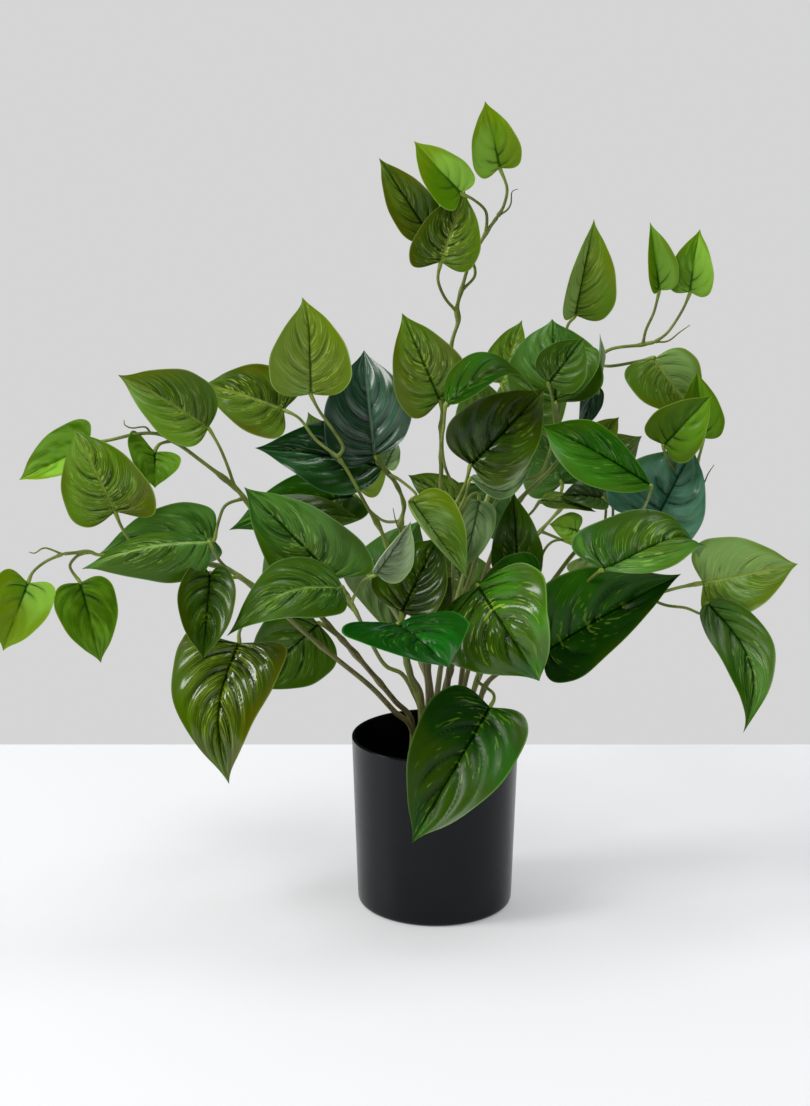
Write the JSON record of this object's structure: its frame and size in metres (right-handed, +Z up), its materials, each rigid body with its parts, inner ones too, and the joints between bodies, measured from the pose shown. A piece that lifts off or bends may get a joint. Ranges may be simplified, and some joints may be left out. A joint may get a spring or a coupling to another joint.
{
  "type": "potted pothos plant",
  "caption": "Bushy artificial pothos with heart-shaped leaves on wiry stems, trailing on both sides of a slightly tapered black plastic pot.",
  "frame": {"origin": "middle of the pot's foot, on the surface it stands on", "axes": "+Z up along the pot's axis, +Y away from the viewer of the picture, +X to the viewer's right"},
  "size_m": [0.5485, 0.2937, 0.572],
  "materials": {
    "black_plastic": "satin",
    "dark_filling": "rough",
    "pothos_green": "satin"
  },
  "bodies": {
    "root": {"pot": "black_plastic", "soil": "dark_filling", "spray_low_left": "pothos_green", "spray_far_left": "pothos_green", "spray_mid_left": "pothos_green", "spray_centre": "pothos_green", "spray_upper_left": "pothos_green", "spray_upper_mid": "pothos_green", "spray_top": "pothos_green", "spray_mid_top": "pothos_green", "spray_under_top": "pothos_green", "spray_upper_right": "pothos_green", "spray_right": "pothos_green", "spray_low_right": "pothos_green", "spray_front": "pothos_green", "spray_mid_right": "pothos_green", "spray_back_left": "pothos_green", "spray_back_mid": "pothos_green", "spray_back_right": "pothos_green"}
  },
  "joints": []
}
